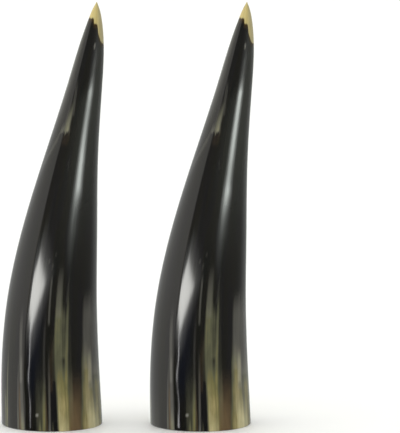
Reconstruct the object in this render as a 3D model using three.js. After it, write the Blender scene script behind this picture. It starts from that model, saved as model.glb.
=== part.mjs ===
// A pair of polished cow horns. Each horn is one hollow sheath, cut flat across its base so that it
// stands tip up. Both sweep the same way: they bulge a little to the left and then lean right.
// Millimetres, +Z up, +X to the right and +Y away from someone who looks at the front.
// The origin is on the table, in the middle of the space that the pair takes up.
import * as THREE from "three";
import { mergeVertices } from "three/addons/utils/BufferGeometryUtils.js";

// Driving dimensions
const HEIGHT = 250; // from the cut base to the tip
const BASE_WIDTH = 60; // across the cut base, left to right
const BASE_DEPTH = 56; // across the cut base, front to back
const SPACING = 88; // between the middles of the two bases
const BACKWARD_LEAN = 5; // how far the tip lies behind the base's middle
const RIM = 4.5; // thickness of the sheath at the cut base
const RIM_ROUNDING = 0.8; // worn outer edge of the cut base
const HOLLOW_REACH = 0.6; // how far up its length the horn is hollow, as a share

// The horn's form from base to tip. Each row gives how far up it is, as a share of HEIGHT, and then
// the section's drift to the right and its half-width, both as shares of half the BASE_WIDTH.
const FORM = [
  [0.0, 0.0, 1.0],
  [0.12, -0.028, 0.973],
  [0.288, 0.006, 0.893],
  [0.46, 0.164, 0.746],
  [0.64, 0.405, 0.526],
  [0.812, 0.679, 0.337],
  [0.912, 0.82, 0.22],
  [0.96, 0.874, 0.129],
  [0.988, 0.898, 0.05],
  [1.0, 0.907, 0.0],
];

// Scraping leaves shallow lengthwise flats on the horn: how many there are, how far their edges stand
// out at the base as a share of the half-width, and how far they turn about the horn from base to tip.
const FLATS = 7;
const FLAT_RELIEF = 0.008;
const FLAT_TWIST = 0.9;

// Faceting: the outside's rings crowd towards the tip, where the form turns fastest.
const SIDES = 40;
const OUTER_RINGS = 36;
const TIP_CROWDING = 1.6;
const HOLLOW_RINGS = 9;

const HORN_BLACK = 0x2a2825;
const POLISH_ROUGHNESS = 0.25;

// A curve that carries the section along the horn: x is the drift, y the half-width, z the height.
const halfBase = BASE_WIDTH / 2;
const form = new THREE.CatmullRomCurve3(
  FORM.map(([up, drift, half]) => new THREE.Vector3(drift * halfBase, half * halfBase, up * HEIGHT)),
  false,
  "centripetal",
);

// Sections of the outside from the tip down to the worn edge of the base.
function outerSections() {
  const sections = [];
  for (let i = 0; i < OUTER_RINGS; i++) {
    sections.push(form.getPointAt(1 - (i / OUTER_RINGS) ** TIP_CROWDING));
  }
  sections[0].y = 0;
  const base = form.getPointAt(0);
  sections.push(new THREE.Vector3(base.x, base.y, RIM_ROUNDING));
  sections.push(new THREE.Vector3(base.x, base.y - RIM_ROUNDING, 0));
  return sections;
}

// Sections of the hollow from the rim up to its rounded end, where the wall takes up the whole horn.
function hollowSections() {
  const sections = [];
  for (let i = 0; i <= HOLLOW_RINGS; i++) {
    const share = Math.sin((i / HOLLOW_RINGS) * (Math.PI / 2));
    const section = form.getPointAt(share * HOLLOW_REACH);
    section.y = (section.y - RIM) * Math.sqrt(1 - share * share);
    sections.push(section);
  }
  sections[HOLLOW_RINGS].y = 0;
  return sections;
}

// How far the flats' edges swell a section at an angle around it and a share of the height.
function flatSwell(angle, up) {
  return 1 + FLAT_RELIEF * (1 - up) * Math.cos(FLATS * (angle + FLAT_TWIST * up));
}

// A horn is spun straight from its sections, and each section is then flattened, swollen and shifted.
function hornGeometry() {
  const sections = [...outerSections(), ...hollowSections()];
  const profile = sections.map((section) => new THREE.Vector2(section.y, section.z)).reverse();
  const horn = new THREE.LatheGeometry(profile, SIDES).rotateX(Math.PI / 2);
  const drifts = sections.map((section) => section.x).reverse();
  const points = horn.getAttribute("position");
  for (let i = 0; i < points.count; i++) {
    const [x, y, z] = [points.getX(i), points.getY(i), points.getZ(i)];
    const up = z / HEIGHT;
    const swell = flatSwell(Math.atan2(y, x), up);
    const back = BACKWARD_LEAN * up * up;
    points.setXYZ(i, drifts[i % drifts.length] + x * swell, back + y * swell * (BASE_DEPTH / BASE_WIDTH), z);
  }
  horn.deleteAttribute("normal");
  horn.deleteAttribute("uv");
  const closed = mergeVertices(horn, 1e-3);
  closed.computeVertexNormals();
  return closed;
}

// The same horn stands on either side. The pair is shifted so that its box is centred on the origin.
const pair = new THREE.Group();
const geometry = hornGeometry();
geometry.computeBoundingBox();
const middle = geometry.boundingBox.getCenter(new THREE.Vector3());
for (const [name, side] of [["horn_left", -1], ["horn_right", 1]]) {
  const polishedHorn = new THREE.MeshStandardMaterial({
    color: HORN_BLACK,
    roughness: POLISH_ROUGHNESS,
    metalness: 0,
  });
  const horn = new THREE.Mesh(geometry, polishedHorn);
  horn.name = name;
  horn.position.set((side * SPACING) / 2 - middle.x, -middle.y, 0);
  pair.add(horn);
}

export default pair;
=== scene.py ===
"""A pair of polished cow horns: near black, with tan streaks rising from the cut base and a pale tip.

Each horn is one surface worked out on a grid: rings are laid from the end of the hollow, down its wall,
across the cut rim and up the outside to the tip. Angles run round the horn from the front, positive to
the right, in degrees. Sizes are in millimetres and become metres when a mesh is made. A range with soft
ends is given as its low end, how far it takes to set in above that, its high end and how far below that
it begins to die out.
"""

import math

import bpy
import mathutils
import numpy as np
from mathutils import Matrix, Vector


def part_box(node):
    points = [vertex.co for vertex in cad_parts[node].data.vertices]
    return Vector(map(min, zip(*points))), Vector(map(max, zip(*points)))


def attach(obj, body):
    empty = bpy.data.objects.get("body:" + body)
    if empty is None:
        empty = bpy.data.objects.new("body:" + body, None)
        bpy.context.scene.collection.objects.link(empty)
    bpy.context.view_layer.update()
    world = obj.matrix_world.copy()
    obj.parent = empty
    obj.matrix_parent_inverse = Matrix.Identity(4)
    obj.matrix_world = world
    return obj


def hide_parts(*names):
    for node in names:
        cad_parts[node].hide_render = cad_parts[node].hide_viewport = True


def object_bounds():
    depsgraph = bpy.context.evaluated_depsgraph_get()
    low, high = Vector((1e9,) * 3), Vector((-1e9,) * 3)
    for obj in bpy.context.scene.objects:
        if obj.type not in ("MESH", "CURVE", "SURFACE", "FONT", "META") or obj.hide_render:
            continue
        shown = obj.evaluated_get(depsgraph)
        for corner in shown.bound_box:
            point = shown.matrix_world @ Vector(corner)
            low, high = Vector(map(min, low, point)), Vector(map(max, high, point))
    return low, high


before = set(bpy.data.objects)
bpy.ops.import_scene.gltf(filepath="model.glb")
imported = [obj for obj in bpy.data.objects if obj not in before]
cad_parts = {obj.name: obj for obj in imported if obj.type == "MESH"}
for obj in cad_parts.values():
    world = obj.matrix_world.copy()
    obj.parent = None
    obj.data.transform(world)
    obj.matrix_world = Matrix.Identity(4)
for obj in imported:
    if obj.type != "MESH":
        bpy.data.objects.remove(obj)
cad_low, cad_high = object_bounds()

MM = 0.001
WHOLE_TURN = 2 * math.pi

# The horn's form from base to tip. Each row gives how far up it is, as a share of the height, and then
# the section's drift to the right and its half-width, both as shares of half the base's width.
FORM = np.array([
    [0.0, 0.0, 1.0],
    [0.12, -0.028, 0.973],
    [0.288, 0.006, 0.893],
    [0.46, 0.164, 0.746],
    [0.64, 0.405, 0.526],
    [0.812, 0.679, 0.337],
    [0.912, 0.820, 0.220],
    [0.96, 0.874, 0.129],
    [0.988, 0.898, 0.050],
    [1.0, 0.907, 0.0],
])
# A horn's height, width and depth, how far its tip leans back, the width of the cut rim and the rounding
# of its edge
HEIGHT = (cad_high.z - cad_low.z) / MM
BASE_WIDTH = 60
BASE_DEPTH = (cad_high.y - cad_low.y) / MM
BACKWARD_LEAN = 5
RIM = 4.5
RIM_ROUNDING = 0.8
# How far up the hollow goes, as a share of the height
HOLLOW_REACH = 0.6

# Grid of one horn: points in a ring, rings in each stretch and how much the outside's crowd to the tip
COLUMNS = 400
HOLLOW_RINGS = 18
EDGE_RINGS = 6
OUTER_RINGS = 208
TIP_CROWDING = 1.25

# Relief of the scraped and buffed outside, which dies out at the cut edge and towards the tip
RELIEF_SEED = 7
RELIEF_ALONG = (0, 2, HEIGHT, 12.5)
# Lengthwise flats: how many, how high they are and how far they twist on the way up, in radians
FLATS = 7
FLAT_HEIGHT = 0.04
FLAT_TWIST = 0.9
# Slow dents: how many waves, how high each is, and the ranges that its turns round the horn and its
# length are drawn from
DENTS = 7
DENT_HEIGHT = 0.006
DENT_TURNS = (2, 8)
DENT_LENGTHS = (35, 90)
# Fine ribs, in the same way, and the height that they reach
RIBS = 14
RIB_HEIGHT = 0.004
RIB_TURNS = (24, 72)
RIB_LENGTHS = (120, 300)
RIB_REACH = 110
# A ripple beside a scraped edge at the front left: its angle, how far it spreads round the horn, how
# many of its waves would go round, its length along the horn, where a crest lies, its range and how
# high it is
RIPPLE_ANGLE = -26
RIPPLE_SPREAD = 10
RIPPLE_TURNS = 12
RIPPLE_LENGTH = 33
RIPPLE_CREST = 14.5
RIPPLE_ALONG = (0, 16, 66, 33)
RIPPLE_HEIGHT = 0.042
# A shallow dish scraped into the front right: its angle, how far it spreads round the horn, its range,
# which is deepest where its ends meet, and how deep it is
DISH_ANGLE = 35
DISH_SPREAD = 12
DISH_ALONG = (40, 76, 145, 29)
DISH_DEPTH = 0.24

# A streak that starts here, below the cut base, has its full strength at the base
BELOW = -9
# Tan streaks. Each row gives the angles of the streak's foot and top, its half-width in degrees, the
# heights in millimetres where it begins and dies out, how strongly it covers the black, and the share
# of its length that it fades over.
FRONT_TAN = [
    (-62.0, -62.0, 9.0, BELOW, 30, 0.12, 1.0),
    (-39.0, -39.0, 1.1, BELOW, 20, 0.30, 0.9),
    (-33.0, -33.0, 2.6, BELOW, 18, 0.45, 0.9),
    (-12.0, -12.0, 1.1, BELOW, 9, 0.45, 0.9),
    (-10.5, -9.0, 6.0, BELOW, 56, 0.22, 1.0),
    (-6.9, -5.5, 1.6, BELOW, 38, 0.60, 1.0),
    (3.2, 3.2, 0.8, BELOW, 9, 0.30, 0.9),
    (6.0, 6.0, 2.2, 28, 64, 0.11, 0.5),
    (13.4, 10.0, 4.2, BELOW, 100, 0.42, 0.4),
    (12.8, 11.0, 2.4, BELOW, 36, 0.50, 0.8),
    (15.4, 13.0, 5.2, BELOW, 38, 0.54, 0.9),
    (15.0, 14.0, 6.0, BELOW, 11, 0.30, 1.0),
    (16.5, 16.5, 2.6, 42, 80, 0.26, 0.4),
    (18.0, 18.0, 3.2, BELOW, 54, 0.42, 0.6),
    (21.5, 21.5, 1.7, BELOW, 90, 0.40, 0.4),
    (24.0, 24.5, 3.6, BELOW, 46, 0.44, 0.9),
    (24.5, 25.0, 2.8, 16, 104, 0.10, 0.5),
    (26.5, 26.5, 3.0, BELOW, 32, 0.12, 1.0),
    (39.5, 46.0, 4.5, BELOW, 34, 0.40, 1.0),
    (44.5, 47.0, 4.5, BELOW, 60, 0.38, 0.5),
    (46.0, 48.0, 8.0, BELOW, 22, 0.36, 1.0),
    (51.0, 54.0, 9.0, BELOW, 24, 0.42, 0.9),
    (52.0, 53.0, 7.0, BELOW, 60, 0.30, 0.4),
    (52.0, 52.0, 5.0, 6, 46, 0.30, 0.6),
    (60.5, 60.5, 18.0, BELOW, 50, 0.36, 0.7),
    (72.0, 72.0, 8.0, BELOW, 54, 0.36, 0.7),
    (84.0, 84.0, 6.0, BELOW, 54, 0.40, 0.6),
]
# Reddish-brown streaks, in the same form
FRONT_BROWN = [
    (-37.0, -37.0, 1.2, BELOW, 34, 0.50, 0.6),
    (-20.0, -20.0, 8.0, 166, 180, 0.08, 0.7),
    (-4.0, -4.0, 0.8, BELOW, 34, 0.35, 0.8),
    (2.5, 4.5, 2.2, 22, 62, 0.10, 0.5),
    (30.0, 33.0, 7.6, BELOW, 40, 0.94, 1.05),
]
# Grey streaks, in the same form. Three rows down the middle of the front are painted highlights
FRONT_GREY_AND_GLINTS = [
    (-39.4, -38.4, 1.0, BELOW, 48, 0.18, 0.5),
    (-32.4, -38.2, 2.0, BELOW, 76, 0.21, 0.3),
    (-34.0, -35.2, 1.6, 27, 46, 0.20, 0.4),
    (-15.0, -29.0, 4.0, 183, 207, 0.11, 0.35),
    (-4.8, -5.4, 1.2, 24, 76, 0.08, 0.5),
    # These three rows are a thin grey line with painted highlights: the glints of a fine ridge down the
    # front, painted into its colour
    (-0.4, 0.1, 0.9, BELOW, 56, 0.38, 0.9),
    (-0.4, -0.4, 1.0, BELOW, 6, 0.30, 1.0),
    (-0.2, -1.6, 0.9, 62, 94, 0.24, 0.25),
    (10.2, 10.8, 3.2, 66, 101, 0.16, 0.5),
    (20.0, 22.0, 1.2, 74, 96, 0.06, 0.5),
    (51.0, 53.0, 6.5, 34, 84, 0.28, 0.35),
    (55.0, 56.5, 4.0, 22, 50, 0.40, 0.6),
    (56.0, 56.0, 13.0, 8, 44, 0.12, 0.6),
    (67.0, 66.0, 9.0, 30, 86, 0.22, 0.4),
]
# Cream streaks where the horn has least pigment, in the same form
FRONT_CREAM = [
    (11.5, 11.0, 2.2, BELOW, 40, 0.12, 0.8),
    (17.0, 17.0, 5.0, BELOW, 14, 0.35, 1.2),
    (54.5, 54.5, 5.6, BELOW, 27, 0.75, 1.1),
    (54.5, 55.5, 3.0, 26, 50, 0.40, 0.7),
    (63.0, 63.0, 6.0, BELOW, 20, 0.55, 1.0),
]
# Streaks at the side and back: the ranges that their angles, how far they lean, where they die out and
# their fading are drawn from, and the narrowest half-width and the faintest strength
BACK_ANGLES = (95, 312)
BACK_LEANS = (-2, 2)
BACK_ENDS = (18, 75)
BACK_FADINGS = (0.5, 1.0)
BACK_NARROWEST = 0.8
BACK_FAINTEST = 0.3
# How many of them are tan and brown, and the widest half-width and the greatest strength of each kind
BACK_TAN = (12, 7.0, 0.8)
BACK_BROWN = (8, 5.0, 0.7)
# How soft the sides of a streak are in degrees, how much softer for each degree of its half-width, how
# far it takes to set in, and how far and over what length it wanders
STREAK_SOFTNESS = 0.7
STREAK_SPREAD = 0.25
STREAK_RISE = 3
WANDER = 0.5
WANDER_LENGTH = 14

# Grey specks, the last a painted glint: the angle, height, half-width and half-height in millimetres and
# strength
SPECKS_AND_GLINT = [
    (-14.6, 9.6, 0.8, 0.8, 0.80),
    (-7.8, 100.2, 0.5, 1.5, 0.08),
    (-2.6, 97.2, 0.4, 2.0, 0.08),
    (0.4, 104.0, 0.5, 1.2, 0.07),
    (-2.8, 157.4, 0.4, 1.2, 0.06),
    (-1.0, 154.5, 0.4, 0.6, 0.12),
    # A painted glint: the right lamp's highlight where the tip turns upwards, painted as a grey speck
    (16.7, 224.6, 0.5, 1.7, 0.42),
]
# How far out a speck dies away, in its own half-sizes
SPECK_EDGE = 1.5

# Where the pale tip begins, as pairs of angle and height
TIP_EDGE = np.array([
    [-180, 236], [-70, 241], [-41, 240.6], [-13.5, 241], [-6.5, 239.8], [-3, 237.8], [22.5, 237.1],
    [27, 235.2], [30, 232.4], [37, 229.9], [48, 227.4], [61, 226.2], [95, 224.8], [140, 230],
    [180, 236],
])
# How far the tip's point stands above that edge
TIP_LENGTH = 12

# A chalky streak left where the scraping cut through to paler horn: its angle, how far it reaches to
# the left and right, the height of its foot, how far it rises, the power that it fades by and how
# strongly it covers the black
WEDGE_ANGLE = -22.3
WEDGE_LEFT = 6.2
WEDGE_RIGHT = 2.8
WEDGE_LOW = 173.8
WEDGE_RISE = 24
WEDGE_FADING = 1.5
WEDGE_STRENGTH = 0.74
# Its ragged foot: how deep the rags are, the waves that make them, in radians to a degree, how far the
# foot takes to set in, how far it stands off to the right and the height over which it comes back
WEDGE_RAGS = 0.7
RAG_WAVES = (0.55, 1.3)
FOOT_RISE = 1.5
FOOT_SHIFT = 2.0
FOOT_LENGTH = 6
# How much of the streak's paleness is chalk, over the olive of the paler horn
WEDGE_CHALK = 0.6
# The paler patch at the foot of the streak: its left end, its range, how far it rises and its strength
PATCH_LEFT = -44
PATCH_AROUND = (PATCH_LEFT, 6, WEDGE_ANGLE + 6, 8)
PATCH_RISE = 9
PATCH_STRENGTH = 0.25
# A painted reflection: a faint pale line that runs on from the patch, down to the left: its left end and
# the height of that, how far it climbs for each degree, its range, its half-width and its strength
REFLECTION_LINE_LEFT = -76
REFLECTION_LINE_LOW = 150
REFLECTION_LINE_CLIMB = 0.64
REFLECTION_LINE_AROUND = (REFLECTION_LINE_LEFT, 8, PATCH_LEFT + 8, 8)
REFLECTION_LINE_HALF = 2.6
REFLECTION_LINE_STRENGTH = 0.12
# The left flank of the upper horn, lightened grey as a painted reflection: its range, the height where
# it begins, how far it takes to set in and its strength
FLANK_AROUND = (-150, 50, -36, 26)
FLANK_LOW = 152
FLANK_RISE = 60
FLANK_STRENGTH = 0.16
# The front and right of the tip, where handling has dulled the polish: the range, the height where it
# begins, how far it takes to set in and how much rougher the polish is
DULL_AROUND = (-6, 12, 170, 60)
DULL_LOW = 198
DULL_RISE = 11
DULL_ROUGHNESS = 0.18
# A patch low on the front where the black is deeper: its ranges round the horn and along it
DEPTH_AROUND = (-28, 5, -6, 8)
DEPTH_ALONG = (8, 24, 88, 30)
# A painted sheen, grey painted over the black for the haze round the right lamp's highlight: the angle
# where it begins, how far it takes to set in, the angle where it ends at the back, how far before that
# it begins to die out, the height where it begins and how far it takes to set in upwards
SHEEN_EDGE = -22
SHEEN_TURN = 55
SHEEN_BACK = 150
SHEEN_BACK_TURN = 50
SHEEN_LOW = 85
SHEEN_RISE = 110
# How far the painted sheen draws back to the right at the tip, where that begins and over how far it
# happens
SHEEN_RETREAT = 25
RETREAT_LOW = 190
RETREAT_RISE = 20

# Markings that are stored at the points of a horn
MARKS = ("tan", "cream", "grey_and_painted_gleam", "depth", "dulled", "brown", "tip", "painted_sheen", "inside")
# Patterns of the horn: the width and length of each and how much detail it has. Real fibres are finer,
# and are drawn this wide so that they show.
FIBRES = (0.9, 45, 3.0)
CLOUDS = (7, 70, 2.0)
BLOTCHES = (4, 14, 3.0)
# The usual range of the fibres and blotches, and the ranges of strength and roughness that it gives
FIBRE_RANGE = (0.3, 0.7)
BLOTCH_RANGE = (0.35, 0.65)
FRAY = (0.90, 1.14)
MOTTLE = (0.8, 1.1)
POLISH = (0.06, 0.10)
# How much rougher the hollow is, keratin's index of refraction, and the strength and depth of the bump
# that the fibres make
LINING_ROUGHNESS = 0.5
HORN_IOR = 1.55
FIBRE_BUMP = 0.3
FIBRE_RELIEF = 0.03
# The strength at which a tan streak hides the black
TAN_HIDES = 0.2
# The edge of the tip: how far the clouds jag it, the heights from it that the brown fringe and the
# honey set in over, and the strength of the fringe
TIP_JAG = 2.0
FRINGE_RANGE = (-2.6, 0.4)
HONEY_RANGE = (0.5, 1.5)
FRINGE_STRENGTH = 0.9
# Colours of the horn. The blacks and honeys follow the clouds, and the olives a streak's strength.
BLACKS = [(0.30, "#0e100f"), (0.44, "#15140e"), (0.56, "#121113"), (0.70, "#10120e")]
OLIVES = [
    (0.0, "#20201b"), (0.2, "#3f3f33"), (0.42, "#60604a"), (0.55, "#757048"), (0.75, "#958b5e"),
    (1.0, "#b8ac7c"),
]
HONEYS = [(0.3, "#bda962"), (0.7, "#cfc088")]
BLUE_BLACK = "#090c15"
# Grey painted over the black as a sheen: a painted reflection
PAINTED_SHEEN_GREY = "#353733"
CREAM = "#e4dcb0"
RED_BROWN = "#746044"
# Chalky grey, also the colour of the painted glints and painted reflections
CHALK_AND_GLEAM_GREY = "#94928a"
FRINGE_BROWN = "#3e2f14"
# The greyer honey that the painted sheen brings to the right of the tip: painted light
DIM_HONEY = "#b3a87e"
LINING = "#6b5c48"
# Sockets of a colour mix: its share, the colour under, the colour over and what comes out
SHARE = 0
UNDER = 6
OVER = 7
MIXED = 2

# Cards round the studio, above and below the eye's level. Each row gives a compass direction, how
# bright it is and how warm, which red is multiplied and blue divided by. Green is multiplied by the cast.
GREEN_CAST = 1.02
LEFT_CARD_EDGE = -59.5
HIGH_CARDS = [
    (-180, 2.4, 1.0), (-171, 1.6, 1.0), (-158, 0.82, 1.0), (LEFT_CARD_EDGE - 1, 0.97, 1.05),
    (LEFT_CARD_EDGE + 1, 0.17, 1.04), (0, 0.16, 1.03), (45, 0.26, 1.03), (60, 0.42, 1.03),
    (105, 0.42, 1.03), (125, 0.55, 1.0), (158, 0.70, 1.0), (171, 1.6, 1.0), (180, 2.4, 1.0),
]
LOW_CARDS = [
    (-180, 1.8, 1.0), (-171, 1.2, 1.0), (-158, 0.62, 1.0), (LEFT_CARD_EDGE - 1, 0.85, 1.04),
    (LEFT_CARD_EDGE + 1, 0.06, 1.0), (0, 0.08, 1.0), (45, 0.10, 1.03), (60, 0.14, 1.03),
    (105, 0.25, 1.03), (125, 0.40, 1.0), (158, 0.52, 1.0), (171, 1.2, 1.0), (180, 1.8, 1.0),
]
# The light overhead, and the sines of the elevations that it sets in over
OVERHEAD = 1.5
OVERHEAD_RANGE = (0.7, 0.9)
# The sine of the elevation, below and above level, that the low cards give way to the high ones over
CARD_BLEND = 0.14
# What the camera sees behind the floor
BACKDROP = "#f6f6f4"

# How far off the lamps stand, in metres, and the tints and the even falloff of their faces
LAMP_AWAY = 2.6
WHITE = (1.0, 1.0, 1.0)
WARM_WHITE = (1.0, 1.0, 0.96)
COOL_WHITE = (0.94, 1.0, 0.95)
EVEN = [(0.0, 1.0), (1.0, 1.0)]


def linear(hex_colour):
    """An sRGB hex colour as the linear values that shaders take, with full alpha: the darkest shares over
    12.92, and the others plus 0.055, over 1.055, to the power of 2.4."""
    shares = [int(hex_colour[i:i + 2], 16) / 255 for i in (1, 3, 5)]
    return [s / 12.92 if s <= 0.04045 else ((s + 0.055) / 1.055) ** 2.4 for s in shares] + [1.0]


def ease(share):
    """Runs from 0 to 1 with no slope at either end: three squares less two cubes of the share."""
    share = np.clip(share, 0, 1)
    return share * share * (3 - 2 * share)


def between(at, low, rise, high, fall):
    """1 within a range and 0 outside it: eases in over the rise above its low end, times an easing out
    over the fall below its high end."""
    return ease((at - low) / rise) * ease((high - at) / fall)


def bell(offset, reach):
    """1 in the middle and falling on both sides as a normal curve does, to 0.61 at the reach."""
    return np.exp(-0.5 * (offset / reach) ** 2)


def turned(angle):
    """The same angle between -180 and 180 degrees: what whole turns leave over."""
    return (angle + 180) % 360 - 180


def smooth_line(knots, values, at):
    """Natural cubic spline through the points: a cubic between each two knots, whose slope and bend run
    on from one to the next, with no bend at either end."""
    gap = np.diff(knots)
    inner = np.arange(1, len(knots) - 1)
    system = np.eye(len(knots))
    system[inner, inner - 1] = gap[:-1]
    system[inner, inner] = 2 * (gap[:-1] + gap[1:])
    system[inner, inner + 1] = gap[1:]
    wanted = np.zeros(len(knots))
    wanted[inner] = 6 * np.diff(np.diff(values) / gap)
    bend = np.linalg.solve(system, wanted)
    i = np.clip(np.searchsorted(knots, at) - 1, 0, len(gap) - 1)
    a = (knots[i + 1] - at) / gap[i]
    b = 1 - a
    straight = a * values[i] + b * values[i + 1]
    return straight + ((a ** 3 - a) * bend[i] + (b ** 3 - b) * bend[i + 1]) * gap[i] ** 2 / 6


def drift(up):
    """How far a section drifts to the right: the form's smooth line times half the base's width."""
    return smooth_line(FORM[:, 0], FORM[:, 1], up) * BASE_WIDTH / 2


def half_width(up):
    """A section's half-width: the form's smooth line, at least 0, times half the base's width."""
    return np.maximum(smooth_line(FORM[:, 0], FORM[:, 2], up), 0) * BASE_WIDTH / 2


def lean_back(up):
    """How far a section has leaned back: the whole lean times the square of how far up it is."""
    return BACKWARD_LEAN * up ** 2


def horn_rings():
    """The rings of one horn in order, as height, half-width and whether they are on the outside. The
    hollow narrows as a quarter ellipse of the sheath's inside, the cut edge is a quarter circle, and
    the outside's rings crowd towards the tip. The first and last ring have no width."""
    reach = np.sin(np.linspace(math.pi / 2, 0, HOLLOW_RINGS))
    hollow_up = reach * HOLLOW_REACH
    hollow_half = (half_width(hollow_up) - RIM) * np.sqrt(1 - reach ** 2)
    turn = np.linspace(0, math.pi / 2, EDGE_RINGS)
    edge_height = RIM_ROUNDING * (1 - np.cos(turn))
    edge_half = half_width(0.0) - RIM_ROUNDING * (1 - np.sin(turn))
    rise = np.linspace(0, 1, OUTER_RINGS + 1)[1:]
    outer_up = 1 - (1 - RIM_ROUNDING / HEIGHT) * (1 - rise) ** TIP_CROWDING
    outer_half = half_width(outer_up)
    outer_half[-1] = 0
    hollow_half[0] = 0
    height = np.concatenate([hollow_up * HEIGHT, edge_height, outer_up * HEIGHT])
    half = np.concatenate([hollow_half, edge_half, outer_half])
    outside = np.concatenate([np.zeros(HOLLOW_RINGS), np.ones(EDGE_RINGS + OUTER_RINGS)])
    return height, half, outside


def flats(radians, height):
    """How far the flats stand proud: a cosine with a wave for each flat, which twists on the way up."""
    return FLAT_HEIGHT * np.cos(FLATS * (radians - math.pi / 2 + FLAT_TWIST * height / HEIGHT))


def dents(draw, radians, height):
    """How far the dents stand proud: a sum of cosines round the horn times cosines along it."""
    waves = np.zeros_like(height)
    for _ in range(DENTS):
        around = draw.integers(*DENT_TURNS)
        length = draw.uniform(*DENT_LENGTHS)
        phase = draw.uniform(0, WHOLE_TURN, 2)
        along = np.cos(WHOLE_TURN * height / length + phase[1])
        waves = waves + np.cos(around * radians + phase[0]) * along
    return DENT_HEIGHT * waves


def ribs(draw, radians, height):
    """How far the ribs stand proud: a sum of fine cosines round the horn, which slant as they rise and
    ease away up to their reach."""
    waves = np.zeros_like(height)
    for _ in range(RIBS):
        around = draw.integers(*RIB_TURNS)
        length = draw.uniform(*RIB_LENGTHS)
        phase = draw.uniform(0, WHOLE_TURN)
        waves = waves + np.cos(around * radians + WHOLE_TURN * height / length + phase)
    return RIB_HEIGHT * waves * ease(1 - height / RIB_REACH)


def ripple(angle, height):
    """How far the ripple stands proud: a sine across under a bell, times a cosine along its range."""
    beside = turned(angle - RIPPLE_ANGLE)
    across = np.sin(np.radians(beside) * RIPPLE_TURNS) * bell(beside, RIPPLE_SPREAD)
    along = np.cos(WHOLE_TURN * (height - RIPPLE_CREST) / RIPPLE_LENGTH)
    return RIPPLE_HEIGHT * across * along * between(height, *RIPPLE_ALONG)


def dish(angle, height):
    """How deep the dish is: a bell across it, times its range along the horn."""
    return DISH_DEPTH * bell(turned(angle - DISH_ANGLE), DISH_SPREAD) * between(height, *DISH_ALONG)


def scraped_relief(angle, height):
    """How far the scraped outside stands proud, in millimetres: the flats, dents, ribs and ripple
    together, less the dish, within the relief's range."""
    draw = np.random.default_rng(RELIEF_SEED)
    radians = np.radians(angle)
    proud = flats(radians, height) + dents(draw, radians, height) + ribs(draw, radians, height)
    proud = proud + ripple(angle, height) - dish(angle, height)
    return proud * between(height, *RELIEF_ALONG)


def streak_cover(streaks, angle, height):
    """How much of the black the streaks cover. Each is a plateau with soft shoulders across its angle,
    fading up to its end. They lie over each other as washes of paint do, so what each leaves bare is
    multiplied."""
    bare = np.ones_like(angle)
    for foot, top, half_angle, start, end, strength, fading in streaks:
        length = end - max(start, 0)
        share = np.clip(1 - (end - height) / length, 0, 1)
        middle = foot + (top - foot) * share + WANDER * np.sin(height / WANDER_LENGTH + foot)
        soft = STREAK_SOFTNESS + STREAK_SPREAD * half_angle
        across = ease((half_angle + soft - np.abs(turned(angle - middle))) / (2 * soft))
        fade = ease((end - height) / length / fading) * ease((height - start) / STREAK_RISE)
        bare = bare * (1 - strength * across * fade)
    return 1 - bare


def back_streaks(draw, count, widest, strongest):
    """Streaks for the side and back that the front rows leave out, drawn evenly from their ranges."""
    angle = draw.uniform(*BACK_ANGLES, count)
    lean = draw.uniform(*BACK_LEANS, count)
    half_angle = draw.uniform(BACK_NARROWEST, widest, count)
    start = np.full(count, BELOW)
    end = draw.uniform(*BACK_ENDS, count)
    strength = draw.uniform(BACK_FAINTEST, strongest, count)
    fading = draw.uniform(*BACK_FADINGS, count)
    return list(zip(angle, angle + lean, half_angle, start, end, strength, fading))


def speck_and_glint_cover(angle, height):
    """How much of the black the specks cover, the painted glint among them: all that their strength
    gives near the middle of each speck's ellipse, then easing away to nothing at the speck's edge."""
    girth = half_width(height / HEIGHT)
    cover = np.zeros_like(angle)
    for at, level, half_across, half_tall, strength in SPECKS_AND_GLINT:
        across = np.radians(turned(angle - at)) * girth / half_across
        away = np.hypot(across, (height - level) / half_tall)
        cover = np.maximum(cover, strength * ease(SPECK_EDGE - away))
    return cover


def wedge_cover(angle, height):
    """How much of the black the wedge covers: a bell across its streak, which fades by a power of how
    far it is from the top, and a soft patch beside the foot that fades faster, both above a foot that
    two sines make ragged."""
    rags = WEDGE_RAGS * (np.sin(angle * RAG_WAVES[0]) + np.sin(angle * RAG_WAVES[1]))
    above = height - WEDGE_LOW - rags
    foot = ease(above / FOOT_RISE)
    middle = WEDGE_ANGLE + np.interp(height, [WEDGE_LOW, WEDGE_LOW + FOOT_LENGTH], [FOOT_SHIFT, 0.0])
    across = bell(angle - middle, np.where(angle < middle, WEDGE_LEFT, WEDGE_RIGHT))
    streak = across * np.clip(1 - above / WEDGE_RISE, 0, 1) ** WEDGE_FADING
    patch = between(angle, *PATCH_AROUND) * ease(1 - above / PATCH_RISE)
    return foot * np.maximum(WEDGE_STRENGTH * streak, PATCH_STRENGTH * patch)


def painted_reflection_line(angle, height):
    """How strongly the painted reflection line lies: a bell across a straight line that climbs with the
    angle, from its left end up to the patch."""
    off = height - REFLECTION_LINE_LOW - REFLECTION_LINE_CLIMB * (angle - REFLECTION_LINE_LEFT)
    return REFLECTION_LINE_STRENGTH * between(angle, *REFLECTION_LINE_AROUND) * bell(off, REFLECTION_LINE_HALF)


def flank_painted_reflection(angle, height):
    """How much painted reflection lightens the left flank: its range round the horn, times an easing in up
    to the tip.
    """
    return FLANK_STRENGTH * between(angle, *FLANK_AROUND) * ease((height - FLANK_LOW) / FLANK_RISE)


def dulled(angle, height):
    """How much rougher the tip's polish is: its range round the horn, setting in evenly upwards."""
    along = np.clip((height - DULL_LOW) / DULL_RISE, 0, 1)
    return DULL_ROUGHNESS * between(angle, *DULL_AROUND) * along


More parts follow.
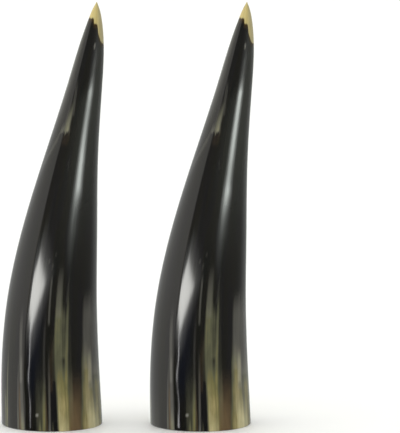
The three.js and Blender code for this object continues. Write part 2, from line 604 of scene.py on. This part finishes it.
def depth_cover(angle, height):
    """How far the black deepens to blue-black: a range round the horn times a range along it."""
    return between(angle, *DEPTH_AROUND) * between(height, *DEPTH_ALONG)


def painted_sheen_cover(angle, height):
    """How much the painted sheen greys the black: a range round the horn, whose start draws back to the
    right at the tip, times an easing in from a third of the way up."""
    edge = SHEEN_EDGE + SHEEN_RETREAT * ease((height - RETREAT_LOW) / RETREAT_RISE)
    around = between(angle, edge, SHEEN_TURN, SHEEN_BACK, SHEEN_BACK_TURN)
    return around * ease((height - SHEEN_LOW) / SHEEN_RISE)


def horn_poles():
    """The end of the hollow and the point of the tip, which are the middles of their sections."""
    up = np.array([HOLLOW_REACH, 1.0])
    return np.stack([drift(up), lean_back(up), up * HEIGHT], axis=-1)


def horn_points(angle, height, half, outside, node):
    """The points of one horn, with the two poles last. A point is its ring's middle plus its ring's
    half-width and depth along the sine and cosine of its angle, with the relief added to the
    half-width. All are then moved so that their box and the box of the solid have the same middle."""
    up = height / HEIGHT
    radians = np.radians(angle)
    reach = half + outside * scraped_relief(angle, height)
    x = drift(up) + reach * np.sin(radians)
    y = lean_back(up) - reach * np.cos(radians) * BASE_DEPTH / BASE_WIDTH
    points = np.concatenate([np.stack([x, y, height], axis=-1).reshape(-1, 3), horn_poles()])
    low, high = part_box(node)
    middle = (low + high) / 2 / MM
    points[:, 0] += middle.x - (points[:, 0].min() + points[:, 0].max()) / 2
    points[:, 1] += middle.y - (points[:, 1].min() + points[:, 1].max()) / 2
    return points


def horn_faces(rings):
    """The faces of one horn: quads between each two rings, which close on themselves, and a fan of
    triangles round each pole, all facing outwards."""
    index = np.arange(rings * COLUMNS).reshape(rings, COLUMNS)
    beside = np.roll(index, -1, axis=1)
    quads = np.stack([index[:-1], beside[:-1], beside[1:], index[1:]], axis=-1).reshape(-1, 4)
    first_pole = rings * COLUMNS
    bottom = np.stack([np.full(COLUMNS, first_pole), beside[0], index[0]], axis=-1)
    top = np.stack([index[-1], beside[-1], np.full(COLUMNS, first_pole + 1)], axis=-1)
    return quads.tolist() + bottom.tolist() + top.tolist()


def spread(mesh, name, values, at_hollow_end=0, at_tip=0):
    """Stores one number for each point of the grid, and for the two poles after it."""
    numbers = np.append(np.asarray(values).ravel(), [at_hollow_end, at_tip])
    mesh.attributes.new(name, "FLOAT", "POINT").data.foreach_set("value", numbers)


def mark_horn(mesh, angle, height, outside, seed):
    """Stores the markings at the points: the cover of each kind, or the greatest of several, the height
    above the tip's edge, whether a point is inside, and its place in the horn straightened out to a
    cylinder, which the grain follows."""
    draw = np.random.default_rng(seed)
    tan_rows = FRONT_TAN + back_streaks(draw, *BACK_TAN)
    brown_rows = FRONT_BROWN + back_streaks(draw, *BACK_BROWN)
    wedge = wedge_cover(angle, height)
    # The grey is partly the horn's own chalky grey and partly painted light: glints, a reflected line and
    # the lit flank
    grey_and_painted_gleam = np.maximum.reduce([
        streak_cover(FRONT_GREY_AND_GLINTS, angle, height),
        WEDGE_CHALK * wedge,
        speck_and_glint_cover(angle, height),
        painted_reflection_line(angle, height),
        flank_painted_reflection(angle, height),
    ])
    above_edge = height - np.interp(angle, TIP_EDGE[:, 0], TIP_EDGE[:, 1])
    spread(mesh, "tan", np.maximum(streak_cover(tan_rows, angle, height), wedge))
    spread(mesh, "cream", streak_cover(FRONT_CREAM, angle, height))
    spread(mesh, "grey_and_painted_gleam", grey_and_painted_gleam)
    spread(mesh, "depth", depth_cover(angle, height))
    spread(mesh, "dulled", dulled(angle, height))
    spread(mesh, "brown", streak_cover(brown_rows, angle, height))
    spread(mesh, "tip", above_edge, at_hollow_end=(HOLLOW_REACH - 1) * HEIGHT, at_tip=TIP_LENGTH)
    # The painted sheen: a painted reflection, the haze round the right lamp's highlight
    spread(mesh, "painted_sheen", painted_sheen_cover(angle, height))
    spread(mesh, "inside", 1 - outside, at_hollow_end=1)
    radians = np.radians(angle)
    radius = BASE_WIDTH / 2
    straight = np.stack([radius * np.sin(radians), -radius * np.cos(radians), height], axis=-1)
    places = np.concatenate([straight.reshape(-1, 3), horn_poles()]) * MM
    grain = mesh.attributes.new("grain", "FLOAT_VECTOR", "POINT")
    grain.data.foreach_set("vector", places.ravel())


def horn(name, node, seed):
    """One horn: a grid of all angles by all rings but the first and last, which are the poles."""
    height, half, outside = (ring[1:-1, None] for ring in horn_rings())
    around = np.linspace(-180, 180, COLUMNS, endpoint=False)[None, :]
    angle, height, outside = np.broadcast_arrays(around, height, outside)
    points = horn_points(angle, height, half, outside, node)
    mesh = bpy.data.meshes.new(name)
    mesh.from_pydata((points * MM).tolist(), [], horn_faces(len(height)))
    mesh.polygons.foreach_set("use_smooth", np.ones(len(mesh.polygons), dtype=bool))
    mark_horn(mesh, angle, height, outside, seed)
    piece = bpy.data.objects.new(name, mesh)
    bpy.context.scene.collection.objects.link(piece)
    return piece


def add(tree, kind, inputs=None, stops=None, **settings):
    """Adds a node, sets its properties and its ramp's stops, and gives each input a value or a link."""
    node = tree.nodes.new(kind)
    for name, value in settings.items():
        setattr(node, name, value)
    for name, value in (inputs or {}).items():
        if isinstance(value, bpy.types.NodeSocket):
            tree.links.new(value, node.inputs[name])
        else:
            node.inputs[name].default_value = value
    if stops:
        elements = node.color_ramp.elements
        while len(elements) < len(stops):
            elements.new(1.0)
        for element, (position, colour) in zip(elements, stops):
            element.position = position
            element.color = colour
    return node


def horn_patterns(tree):
    """The fibres, clouds and blotches of the horn: each is a noise in the straightened horn, whose
    place is divided by the pattern's width across the horn and by its length along it."""
    grain = add(tree, "ShaderNodeAttribute", attribute_name="grain").outputs["Vector"]
    patterns = []
    for width, length, detail in (FIBRES, CLOUDS, BLOTCHES):
        scale = (1 / (width * MM), 1 / (width * MM), 1 / (length * MM))
        place = add(tree, "ShaderNodeMapping", {"Vector": grain, "Scale": scale}).outputs[0]
        noise = add(tree, "ShaderNodeTexNoise", {"Vector": place, "Scale": 1.0, "Detail": detail})
        patterns.append(noise.outputs["Fac"])
    return patterns


def pale_tip(tree, marks, clouds):
    """The pale tip, as the strength of its brown fringe, the strength of its honey and the honey's
    colour. The clouds are added to the height above the tip's edge, and the fringe and then the honey
    set in as that rises. The painted sheen greys the honey on the right of the tip, as painted light."""
    jagged = add(
        tree, "ShaderNodeMath", {0: clouds, 1: TIP_JAG, 2: marks["tip"]}, operation="MULTIPLY_ADD",
    ).outputs[0]
    fringe = add(
        tree, "ShaderNodeMapRange",
        {
            "Value": jagged, "From Min": FRINGE_RANGE[0], "From Max": FRINGE_RANGE[1],
            "To Max": FRINGE_STRENGTH,
        },
    ).outputs[0]
    strength = add(
        tree, "ShaderNodeMapRange",
        {"Value": jagged, "From Min": HONEY_RANGE[0], "From Max": HONEY_RANGE[1]},
    ).outputs[0]
    honey = add(
        tree, "ShaderNodeValToRGB", {"Fac": clouds}, stops=[(at, linear(tone)) for at, tone in HONEYS],
    ).outputs[0]
    # Painted light: the sheen greys the honey on the right of the tip
    dimmed = add(
        tree, "ShaderNodeMix", {SHARE: marks["painted_sheen"], UNDER: honey, OVER: linear(DIM_HONEY)},
        data_type="RGBA",
    ).outputs[MIXED]
    return fringe, strength, dimmed


def horn_colour(tree, marks, fibres, clouds, blotches):
    """The colour of the horn: a clouded black with washes laid over it in turn, each mixed in by its
    marking's share. The fibres fray the markings and the blotches mottle them, by multiplying."""
    fray = add(
        tree, "ShaderNodeMapRange",
        {
            "Value": fibres, "From Min": FIBRE_RANGE[0], "From Max": FIBRE_RANGE[1],
            "To Min": FRAY[0], "To Max": FRAY[1],
        },
    ).outputs[0]
    mottle = add(
        tree, "ShaderNodeMapRange",
        {
            "Value": blotches, "From Min": BLOTCH_RANGE[0], "From Max": BLOTCH_RANGE[1],
            "To Min": MOTTLE[0], "To Max": MOTTLE[1],
        },
    ).outputs[0]
    uneven = add(tree, "ShaderNodeMath", {0: fray, 1: mottle}, operation="MULTIPLY").outputs[0]
    tan, cream, brown, grey_and_painted_gleam = (
        add(
            tree, "ShaderNodeMath", {0: marks[name], 1: pattern}, operation="MULTIPLY", use_clamp=True,
        ).outputs[0]
        for name, pattern in (("tan", uneven), ("cream", uneven), ("brown", mottle), ("grey_and_painted_gleam", fray))
    )
    black = add(
        tree, "ShaderNodeValToRGB", {"Fac": clouds}, stops=[(at, linear(tone)) for at, tone in BLACKS],
    ).outputs[0]
    olive = add(
        tree, "ShaderNodeValToRGB", {"Fac": tan}, stops=[(at, linear(tone)) for at, tone in OLIVES],
    ).outputs[0]
    hiding = add(tree, "ShaderNodeMapRange", {"Value": tan, "From Max": TAN_HIDES}).outputs[0]
    fringe, tip, honey = pale_tip(tree, marks, clouds)
    washes = [
        (marks["depth"], linear(BLUE_BLACK)),
        # Painted sheen, grey painted over the black for the haze round the right lamp's highlight
        (marks["painted_sheen"], linear(PAINTED_SHEEN_GREY)),
        (hiding, olive),
        (cream, linear(CREAM)),
        (brown, linear(RED_BROWN)),
        # Chalky grey together with painted highlights and painted reflections
        (grey_and_painted_gleam, linear(CHALK_AND_GLEAM_GREY)),
        (fringe, linear(FRINGE_BROWN)),
        (tip, honey),
        (marks["inside"], linear(LINING)),
    ]
    colour = black
    for share, wash in washes:
        mix = add(tree, "ShaderNodeMix", {SHARE: share, UNDER: colour, OVER: wash}, data_type="RGBA")
        colour = mix.outputs[MIXED]
    return colour


def horn_roughness(tree, marks, fibres):
    """How rough the horn is: the polish, slightly brushed by the fibres, plus the dulling, plus the
    lining's roughness inside."""
    brushed = add(
        tree, "ShaderNodeMapRange",
        {
            "Value": fibres, "From Min": FIBRE_RANGE[0], "From Max": FIBRE_RANGE[1],
            "To Min": POLISH[0], "To Max": POLISH[1],
        },
    ).outputs[0]
    worn = add(tree, "ShaderNodeMath", {0: brushed, 1: marks["dulled"]}, operation="ADD").outputs[0]
    return add(
        tree, "ShaderNodeMath", {0: marks["inside"], 1: LINING_ROUGHNESS, 2: worn},
        operation="MULTIPLY_ADD",
    ).outputs[0]


def polished_horn():
    """Black cow horn, scraped and buffed: keratin fibres run lengthwise, so the colour is streaked and
    the gloss slightly brushed. Where pigment is missing it turns olive, then straw, then honey."""
    material = bpy.data.materials.new("polished_horn")
    material.use_nodes = True
    tree = material.node_tree
    tree.nodes.clear()
    marks = {
        name: add(tree, "ShaderNodeAttribute", attribute_name=name).outputs["Fac"] for name in MARKS
    }
    fibres, clouds, blotches = horn_patterns(tree)
    bump = add(
        tree, "ShaderNodeBump",
        {"Height": fibres, "Strength": FIBRE_BUMP, "Distance": FIBRE_RELIEF * MM},
    )
    shader = add(
        tree, "ShaderNodeBsdfPrincipled",
        {
            "Base Color": horn_colour(tree, marks, fibres, clouds, blotches),
            "Roughness": horn_roughness(tree, marks, fibres),
            "IOR": HORN_IOR,
            "Normal": bump.outputs[0],
        },
    )
    add(tree, "ShaderNodeOutputMaterial", {"Surface": shader.outputs[0]})
    return material


def pale_floor():
    """A wide flat square of white paper. Reflections pass through it, so the polish mirrors the studio."""
    size = 8.0
    corners = [(-size, -size, 0), (size, -size, 0), (size, size, 0), (-size, size, 0)]
    mesh = bpy.data.meshes.new("floor")
    mesh.from_pydata(corners, [], [(0, 1, 2, 3)])
    material = bpy.data.materials.new("white_paper")
    material.use_nodes = True
    shader = material.node_tree.nodes["Principled BSDF"]
    shader.inputs["Base Color"].default_value = linear("#f2f2f0")
    shader.inputs["Roughness"].default_value = 0.9
    mesh.materials.append(material)
    floor = bpy.data.objects.new("floor", mesh)
    floor.visible_glossy = False
    bpy.context.scene.collection.objects.link(floor)
    return floor


def studio_cards(tree, parts):
    """The light of the cards by compass direction, which is the arctangent of right over front, blended
    from the low cards to the high ones by the elevation."""
    right, back, up = parts.outputs[:3]
    front = add(tree, "ShaderNodeMath", {0: back, 1: -1.0}, operation="MULTIPLY").outputs[0]
    compass = add(tree, "ShaderNodeMath", {0: right, 1: front}, operation="ARCTAN2").outputs[0]
    share = add(
        tree, "ShaderNodeMapRange", {"Value": compass, "From Min": -math.pi, "From Max": math.pi},
    ).outputs[0]
    low, high = (
        add(
            tree, "ShaderNodeValToRGB", {"Fac": share},
            stops=[
                ((angle + 180) / 360, (light * warmth, light * GREEN_CAST, light / warmth, 1.0))
                for angle, light, warmth in cards
            ],
        ).outputs[0]
        for cards in (LOW_CARDS, HIGH_CARDS)
    )
    lift = add(
        tree, "ShaderNodeMapRange",
        {"Value": up, "From Min": -CARD_BLEND, "From Max": CARD_BLEND},
        interpolation_type="SMOOTHSTEP",
    ).outputs[0]
    return add(
        tree, "ShaderNodeMix", {SHARE: lift, UNDER: low, OVER: high}, data_type="RGBA",
    ).outputs[MIXED]


def studio_surround():
    """The light that comes from all round: cards that are bright at the left, brightest in a strip
    behind, dim at the right and dark behind the camera, plus a soft light overhead that whitens the
    floor. The camera itself sees a plain backdrop."""
    world = bpy.data.worlds.new("studio_surround")
    world.use_nodes = True
    tree = world.node_tree
    tree.nodes.clear()
    direction = add(tree, "ShaderNodeTexCoord").outputs["Generated"]
    parts = add(tree, "ShaderNodeSeparateXYZ", {0: direction})
    ceiling = add(
        tree, "ShaderNodeMapRange",
        {
            "Value": parts.outputs["Z"], "From Min": OVERHEAD_RANGE[0], "From Max": OVERHEAD_RANGE[1],
            "To Max": OVERHEAD,
        },
        interpolation_type="SMOOTHSTEP",
    ).outputs[0]
    light = add(
        tree, "ShaderNodeMix", {SHARE: 1.0, UNDER: studio_cards(tree, parts), OVER: ceiling},
        data_type="RGBA", blend_type="ADD",
    ).outputs[MIXED]
    seen = add(tree, "ShaderNodeLightPath").outputs["Is Camera Ray"]
    shown = add(
        tree, "ShaderNodeMix", {SHARE: seen, UNDER: light, OVER: linear(BACKDROP)}, data_type="RGBA",
    ).outputs[MIXED]
    background = add(tree, "ShaderNodeBackground", {"Color": shown})
    add(tree, "ShaderNodeOutputWorld", {"Surface": background.outputs[0]})
    bpy.context.scene.world = world


def out_from(middle, compass, elevation, distance):
    """The point at a distance from a middle: the sine of the compass direction to the right and its
    cosine to the front, both times the cosine of the elevation, and the sine of the elevation up."""
    flat = distance * math.cos(math.radians(elevation))
    return (
        middle[0] + flat * math.sin(math.radians(compass)),
        middle[1] - flat * math.cos(math.radians(compass)),
        middle[2] + distance * math.sin(math.radians(elevation)),
    )


def lamp_face(tree, heart, rounding, falloff, tint):
    """The light over a lamp's face. It falls off with the sum of how far across and how far up the face a
    point lies from the brightest spot, each to the power of the rounding. The spot is off the middle by
    the heart, and each row of the falloff gives such a sum and the light there."""
    tree.nodes.clear()
    face = add(tree, "ShaderNodeNewGeometry").outputs["Parametric"]
    spot = add(tree, "ShaderNodeSeparateXYZ", {0: face})
    powers = []
    for share, middle in zip(spot.outputs[:2], heart):
        reach = 1 + abs(middle)
        off = add(
            tree, "ShaderNodeMath", {0: share, 1: 2 / reach, 2: -(1 + middle) / reach},
            operation="MULTIPLY_ADD",
        ).outputs[0]
        size = add(tree, "ShaderNodeMath", {0: off}, operation="ABSOLUTE").outputs[0]
        power = add(tree, "ShaderNodeMath", {0: size, 1: rounding}, operation="POWER").outputs[0]
        powers.append(power)
    distance = add(tree, "ShaderNodeMath", {0: powers[0], 1: powers[1]}, operation="ADD").outputs[0]
    shade = add(
        tree, "ShaderNodeValToRGB", {"Fac": distance},
        stops=[(position, [light * share for share in tint] + [1.0]) for position, light in falloff],
    )
    glow = add(tree, "ShaderNodeEmission", {"Color": shade.outputs[0]})
    add(tree, "ShaderNodeOutputLight", {"Surface": glow.outputs[0]})


def softbox(
    name, compass, elevation, wide, tall, radiance,
    lean=0, heart=(0, 0), rounding=2, falloff=EVEN, tint=WHITE,
):
    """A lamp that faces the horns from a direction, as wide and tall as its angles say and leaning by
    the angle given. Its power is its radiance times pi times its area. Angles are in degrees."""
    lamp = bpy.data.lights.new(name, "AREA")
    lamp.shape = "RECTANGLE"
    lamp.size = 2 * LAMP_AWAY * math.tan(math.radians(wide) / 2)
    lamp.size_y = 2 * LAMP_AWAY * math.tan(math.radians(tall) / 2)
    lamp.energy = radiance * math.pi * lamp.size * lamp.size_y
    lamp.use_nodes = True
    lamp_face(lamp.node_tree, heart, rounding, falloff, tint)
    holder = bpy.data.objects.new(name, lamp)
    holder.location = out_from((0, 0, HEIGHT * MM / 2), compass, elevation, LAMP_AWAY)
    facing = mathutils.Euler((math.radians(90 - elevation), 0, math.radians(compass)))
    turn = mathutils.Matrix.Rotation(math.radians(lean), 4, "Z")
    holder.rotation_euler = (facing.to_matrix().to_4x4() @ turn).to_euler()
    holder.visible_camera = False
    bpy.context.scene.collection.objects.link(holder)


def camera():
    """A long lens in front of the horns and a little above, aimed so that they stand at the left of the
    frame. Its focal length is the sensor's width times the distance, over the height that it takes in."""
    aim = (0.0431, 0.0, 0.12365)
    elevation = 8
    distance = 2.4
    view_height = 0.2550
    lens = bpy.data.cameras.new("camera")
    lens.sensor_width = 36
    lens.lens = lens.sensor_width * distance / view_height
    holder = bpy.data.objects.new("camera", lens)
    holder.location = out_from(aim, 0, elevation, distance)
    holder.rotation_euler = (math.radians(90 - elevation), 0, 0)
    bpy.context.scene.collection.objects.link(holder)
    bpy.context.scene.camera = holder


finish = polished_horn()
for piece_name, node, seed in [("left_horn", "horn_left", 11), ("right_horn", "horn_right", 23)]:
    piece = horn(piece_name, node, seed)
    piece.data.materials.append(finish)
    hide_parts(node)
    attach(piece, "root")
    # The polish mirrors the studio alone, and not the other horn
    piece.visible_glossy = False

pale_floor()
studio_surround()
softbox(
    "left_softbox", compass=-26.5, elevation=3.5, wide=54.6, tall=21.2, radiance=13,
    heart=(-0.64, 0), rounding=1, tint=WARM_WHITE,
    falloff=[
        (0.0, 1.0), (0.30, 0.95), (0.45, 0.80), (0.52, 0.52), (0.55, 0.36), (0.59, 0.18), (0.64, 0.10),
        (0.72, 0.06), (1.0, 0.0),
    ],
)
softbox(
    "left_glow", compass=-55.4, elevation=3.5, wide=4.6, tall=19, radiance=1.3,
    falloff=[(0.0, 1.0), (0.5, 0.6), (1.0, 0.0)],
)
softbox("left_strip", compass=-47.5, elevation=-5.0, wide=2.1, tall=8.0, radiance=6.0)
softbox(
    "left_strip_foot", compass=-47.5, elevation=-12.1, wide=2.1, tall=4.2, radiance=8,
    heart=(0, -1), falloff=[(0.0, 1.0), (0.25, 0.75), (1.0, 0.4)],
)
softbox(
    "right_softbox", compass=43.2, elevation=3.5, wide=40, tall=2.5, radiance=17,
    lean=-10.5, tint=COOL_WHITE,
    falloff=[
        (0.0, 1.0), (0.05, 0.92), (0.11, 0.72), (0.19, 0.45), (0.31, 0.30), (0.44, 0.19), (0.65, 0.11),
        (1.0, 0.0),
    ],
)
softbox(
    "right_tail", compass=36.5, elevation=1.2, wide=32, tall=5.6, radiance=2.2,
    lean=-10.5, heart=(0, 1), tint=COOL_WHITE,
    falloff=[
        (0.0, 1.0), (0.013, 0.85), (0.046, 0.60), (0.12, 0.35), (0.25, 0.24), (0.45, 0.18), (0.7, 0.10),
        (1.0, 0.0),
    ],
)
camera()
bpy.context.scene.view_settings.view_transform = "Standard"
